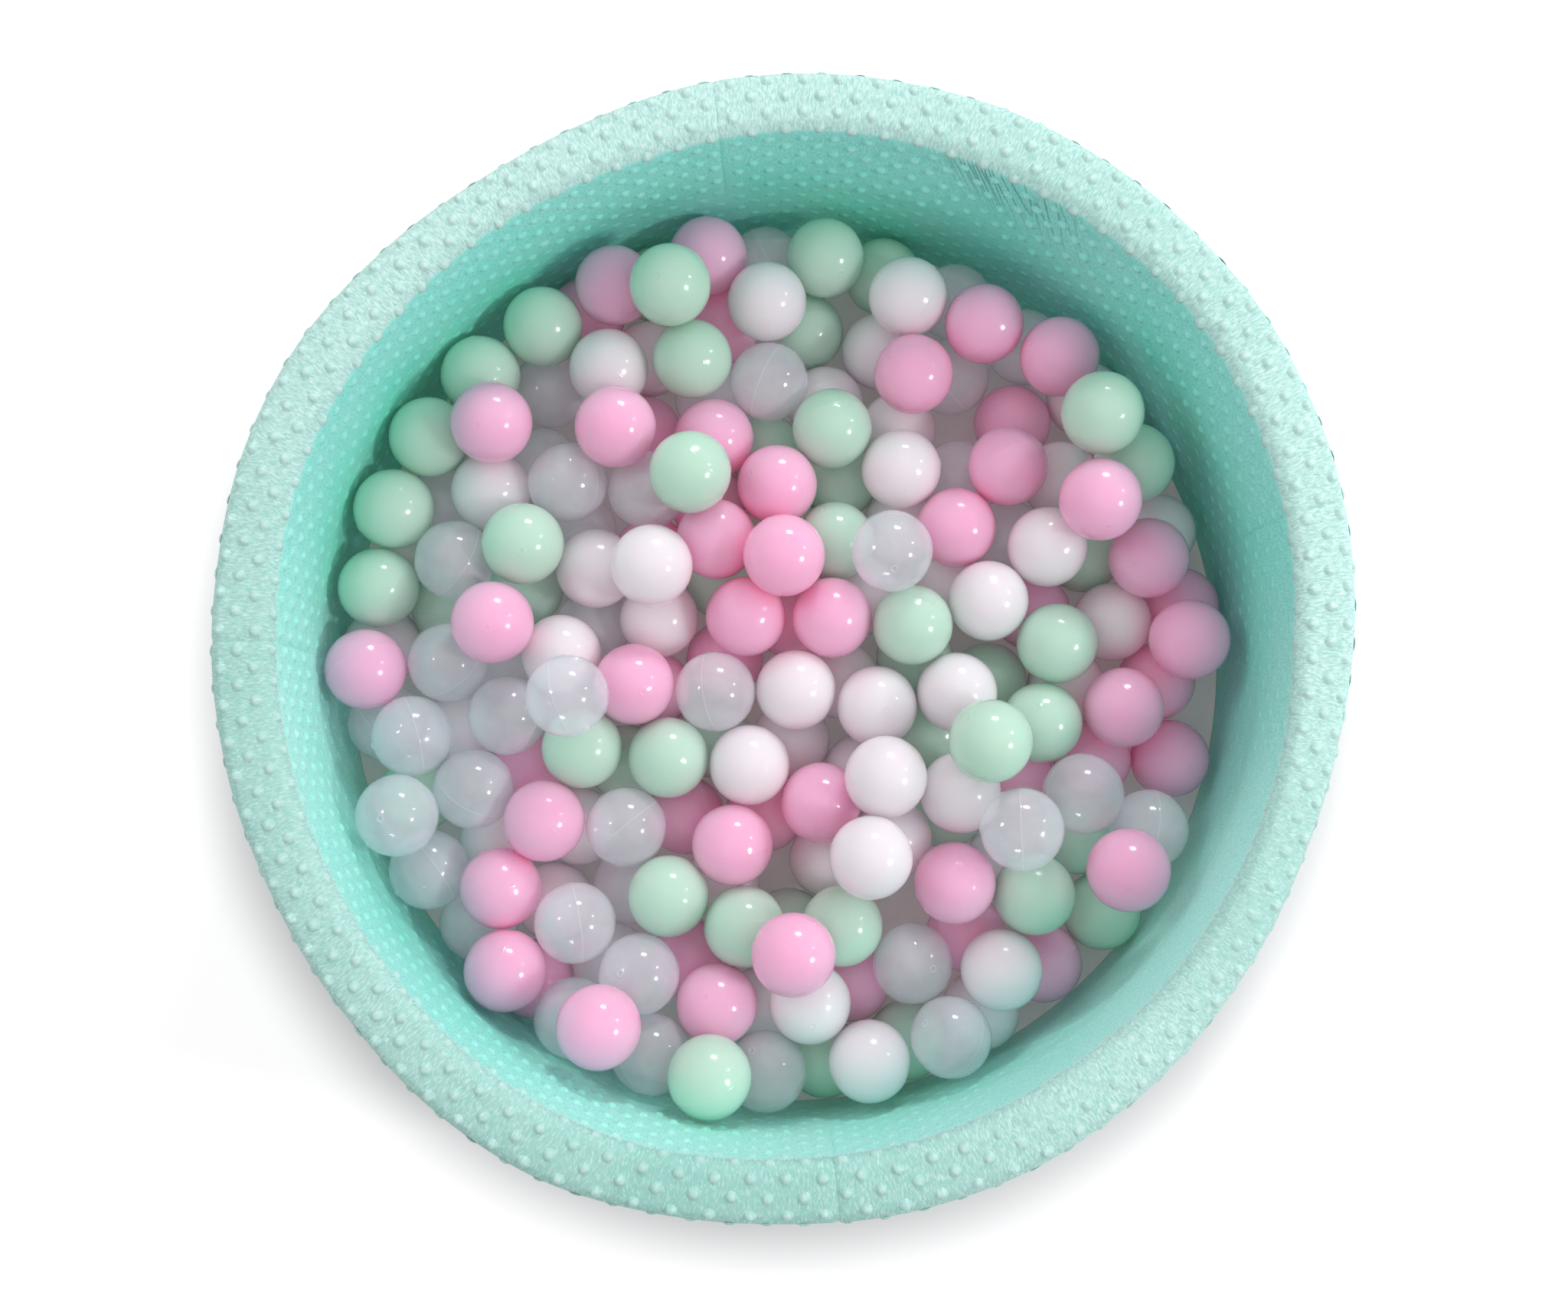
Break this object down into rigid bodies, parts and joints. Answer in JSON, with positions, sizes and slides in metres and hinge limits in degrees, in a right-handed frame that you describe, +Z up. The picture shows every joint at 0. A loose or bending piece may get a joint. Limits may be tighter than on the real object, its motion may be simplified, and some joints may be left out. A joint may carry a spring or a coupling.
{
  "type": "ball pit",
  "caption": "Round foam ball pit in a plush dotted cover with a zip, filled with pastel plastic balls, the top ones loose to lift out.",
  "frame": {"origin": "on the floor under the middle of the pit", "axes": "+Z up, +X to the right and +Y to the back as the picture shows it from above; the zip runs round the back"},
  "size_m": [0.9, 0.9, 0.3],
  "materials": {
    "plush": "short plush pile in mint green, embossed with raised dots",
    "cloth": "plain woven cloth",
    "foam": "open-cell polyurethane foam",
    "zip_tape": "woven tape",
    "zip_teeth": "moulded nylon",
    "zip_metal": "plated metal",
    "ball_pink": "soft glossy polyethylene",
    "ball_mint": "soft glossy polyethylene",
    "ball_white": "soft glossy polyethylene",
    "ball_clear": "frosted see-through polyethylene",
    "balls_mixed": "soft glossy polyethylene in pink, mint, white and clear"
  },
  "bodies": {
    "pit": {"wall_foam_front": "foam", "wall_foam_back": "foam", "base_foam": "foam", "cover_panel_back_right": "plush", "cover_panel_back_left": "plush", "cover_panel_front_left": "plush", "cover_panel_front_right": "plush", "cover_floor": "cloth", "cover_underside": "cloth", "zip_tape_upper": "zip_tape", "zip_tape_lower": "zip_tape", "zip_teeth_upper": "zip_teeth", "zip_teeth_lower": "zip_teeth", "zip_stop_start": "zip_metal", "zip_stop_end": "zip_metal", "ball_bed_01": "balls_mixed", "ball_bed_02": "balls_mixed", "ball_bed_03": "balls_mixed", "ball_bed_04": "balls_mixed", "ball_bed_05": "balls_mixed", "ball_bed_06": "balls_mixed", "ball_bed_07": "balls_mixed", "ball_bed_08": "balls_mixed", "ball_bed_09": "balls_mixed", "ball_bed_10": "balls_mixed", "ball_bed_11": "balls_mixed", "ball_bed_12": "balls_mixed", "ball_bed_13": "balls_mixed", "ball_bed_14": "balls_mixed", "ball_bed_15": "balls_mixed", "ball_bed_16": "balls_mixed"},
    "slider": {"zip_slider": "zip_metal"},
    "pull": {"zip_pull": "zip_metal"},
    "ball_pink_01": {"ball_pink_01": "ball_pink"},
    "ball_pink_02": {"ball_pink_02": "ball_pink"},
    "ball_pink_03": {"ball_pink_03": "ball_pink"},
    "ball_pink_04": {"ball_pink_04": "ball_pink"},
    "ball_pink_05": {"ball_pink_05": "ball_pink"},
    "ball_pink_06": {"ball_pink_06": "ball_pink"},
    "ball_pink_07": {"ball_pink_07": "ball_pink"},
    "ball_pink_08": {"ball_pink_08": "ball_pink"},
    "ball_pink_09": {"ball_pink_09": "ball_pink"},
    "ball_pink_10": {"ball_pink_10": "ball_pink"},
    "ball_pink_11": {"ball_pink_11": "ball_pink"},
    "ball_pink_12": {"ball_pink_12": "ball_pink"},
    "ball_mint_01": {"ball_mint_01": "ball_mint"},
    "ball_mint_02": {"ball_mint_02": "ball_mint"},
    "ball_mint_03": {"ball_mint_03": "ball_mint"},
    "ball_mint_04": {"ball_mint_04": "ball_mint"},
    "ball_mint_05": {"ball_mint_05": "ball_mint"},
    "ball_mint_06": {"ball_mint_06": "ball_mint"},
    "ball_white_01": {"ball_white_01": "ball_white"},
    "ball_white_02": {"ball_white_02": "ball_white"},
    "ball_white_03": {"ball_white_03": "ball_white"},
    "ball_white_04": {"ball_white_04": "ball_white"},
    "ball_clear_01": {"ball_clear_01": "ball_clear"},
    "ball_clear_02": {"ball_clear_02": "ball_clear"},
    "ball_clear_03": {"ball_clear_03": "ball_clear"},
    "ball_clear_04": {"ball_clear_04": "ball_clear"},
    "ball_clear_05": {"ball_clear_05": "ball_clear"}
  },
  "joints": [
    {"name": "zip_slide", "type": "hinge", "parent": "pit", "child": "slider", "pos_m": [0, 0, 0.03115], "axis": [0, 0, 1], "range_deg": [0, 163.5]},
    {"name": "zip_pull_swing", "type": "hinge", "parent": "slider", "child": "pull", "pos_m": [0.43715, 0.11997, 0.03115], "axis": [0, 0, 1], "range_deg": [0, 170]},
    {"name": "lift_pink_01", "type": "slide", "parent": "pit", "child": "ball_pink_01", "axis": [0, 0, 1], "range_m": [0, 0.32]},
    {"name": "lift_pink_02", "type": "slide", "parent": "pit", "child": "ball_pink_02", "axis": [0, 0, 1], "range_m": [0, 0.32]},
    {"name": "lift_pink_03", "type": "slide", "parent": "pit", "child": "ball_pink_03", "axis": [0, 0, 1], "range_m": [0, 0.32]},
    {"name": "lift_pink_04", "type": "slide", "parent": "pit", "child": "ball_pink_04", "axis": [0, 0, 1], "range_m": [0, 0.32]},
    {"name": "lift_pink_05", "type": "slide", "parent": "pit", "child": "ball_pink_05", "axis": [0, 0, 1], "range_m": [0, 0.32]},
    {"name": "lift_pink_06", "type": "slide", "parent": "pit", "child": "ball_pink_06", "axis": [0, 0, 1], "range_m": [0, 0.32]},
    {"name": "lift_pink_07", "type": "slide", "parent": "pit", "child": "ball_pink_07", "axis": [0, 0, 1], "range_m": [0, 0.32]},
    {"name": "lift_pink_08", "type": "slide", "parent": "pit", "child": "ball_pink_08", "axis": [0, 0, 1], "range_m": [0, 0.32]},
    {"name": "lift_pink_09", "type": "slide", "parent": "pit", "child": "ball_pink_09", "axis": [0, 0, 1], "range_m": [0, 0.32]},
    {"name": "lift_pink_10", "type": "slide", "parent": "pit", "child": "ball_pink_10", "axis": [0, 0, 1], "range_m": [0, 0.32]},
    {"name": "lift_pink_11", "type": "slide", "parent": "pit", "child": "ball_pink_11", "axis": [0, 0, 1], "range_m": [0, 0.32]},
    {"name": "lift_pink_12", "type": "slide", "parent": "pit", "child": "ball_pink_12", "axis": [0, 0, 1], "range_m": [0, 0.32]},
    {"name": "lift_mint_01", "type": "slide", "parent": "pit", "child": "ball_mint_01", "axis": [0, 0, 1], "range_m": [0, 0.32]},
    {"name": "lift_mint_02", "type": "slide", "parent": "pit", "child": "ball_mint_02", "axis": [0, 0, 1], "range_m": [0, 0.32]},
    {"name": "lift_mint_03", "type": "slide", "parent": "pit", "child": "ball_mint_03", "axis": [0, 0, 1], "range_m": [0, 0.32]},
    {"name": "lift_mint_04", "type": "slide", "parent": "pit", "child": "ball_mint_04", "axis": [0, 0, 1], "range_m": [0, 0.32]},
    {"name": "lift_mint_05", "type": "slide", "parent": "pit", "child": "ball_mint_05", "axis": [0, 0, 1], "range_m": [0, 0.32]},
    {"name": "lift_mint_06", "type": "slide", "parent": "pit", "child": "ball_mint_06", "axis": [0, 0, 1], "range_m": [0, 0.32]},
    {"name": "lift_white_01", "type": "slide", "parent": "pit", "child": "ball_white_01", "axis": [0, 0, 1], "range_m": [0, 0.32]},
    {"name": "lift_white_02", "type": "slide", "parent": "pit", "child": "ball_white_02", "axis": [0, 0, 1], "range_m": [0, 0.32]},
    {"name": "lift_white_03", "type": "slide", "parent": "pit", "child": "ball_white_03", "axis": [0, 0, 1], "range_m": [0, 0.32]},
    {"name": "lift_white_04", "type": "slide", "parent": "pit", "child": "ball_white_04", "axis": [0, 0, 1], "range_m": [0, 0.32]},
    {"name": "lift_clear_01", "type": "slide", "parent": "pit", "child": "ball_clear_01", "axis": [0, 0, 1], "range_m": [0, 0.32]},
    {"name": "lift_clear_02", "type": "slide", "parent": "pit", "child": "ball_clear_02", "axis": [0, 0, 1], "range_m": [0, 0.32]},
    {"name": "lift_clear_03", "type": "slide", "parent": "pit", "child": "ball_clear_03", "axis": [0, 0, 1], "range_m": [0, 0.32]},
    {"name": "lift_clear_04", "type": "slide", "parent": "pit", "child": "ball_clear_04", "axis": [0, 0, 1], "range_m": [0, 0.32]},
    {"name": "lift_clear_05", "type": "slide", "parent": "pit", "child": "ball_clear_05", "axis": [0, 0, 1], "range_m": [0, 0.32]}
  ]
}
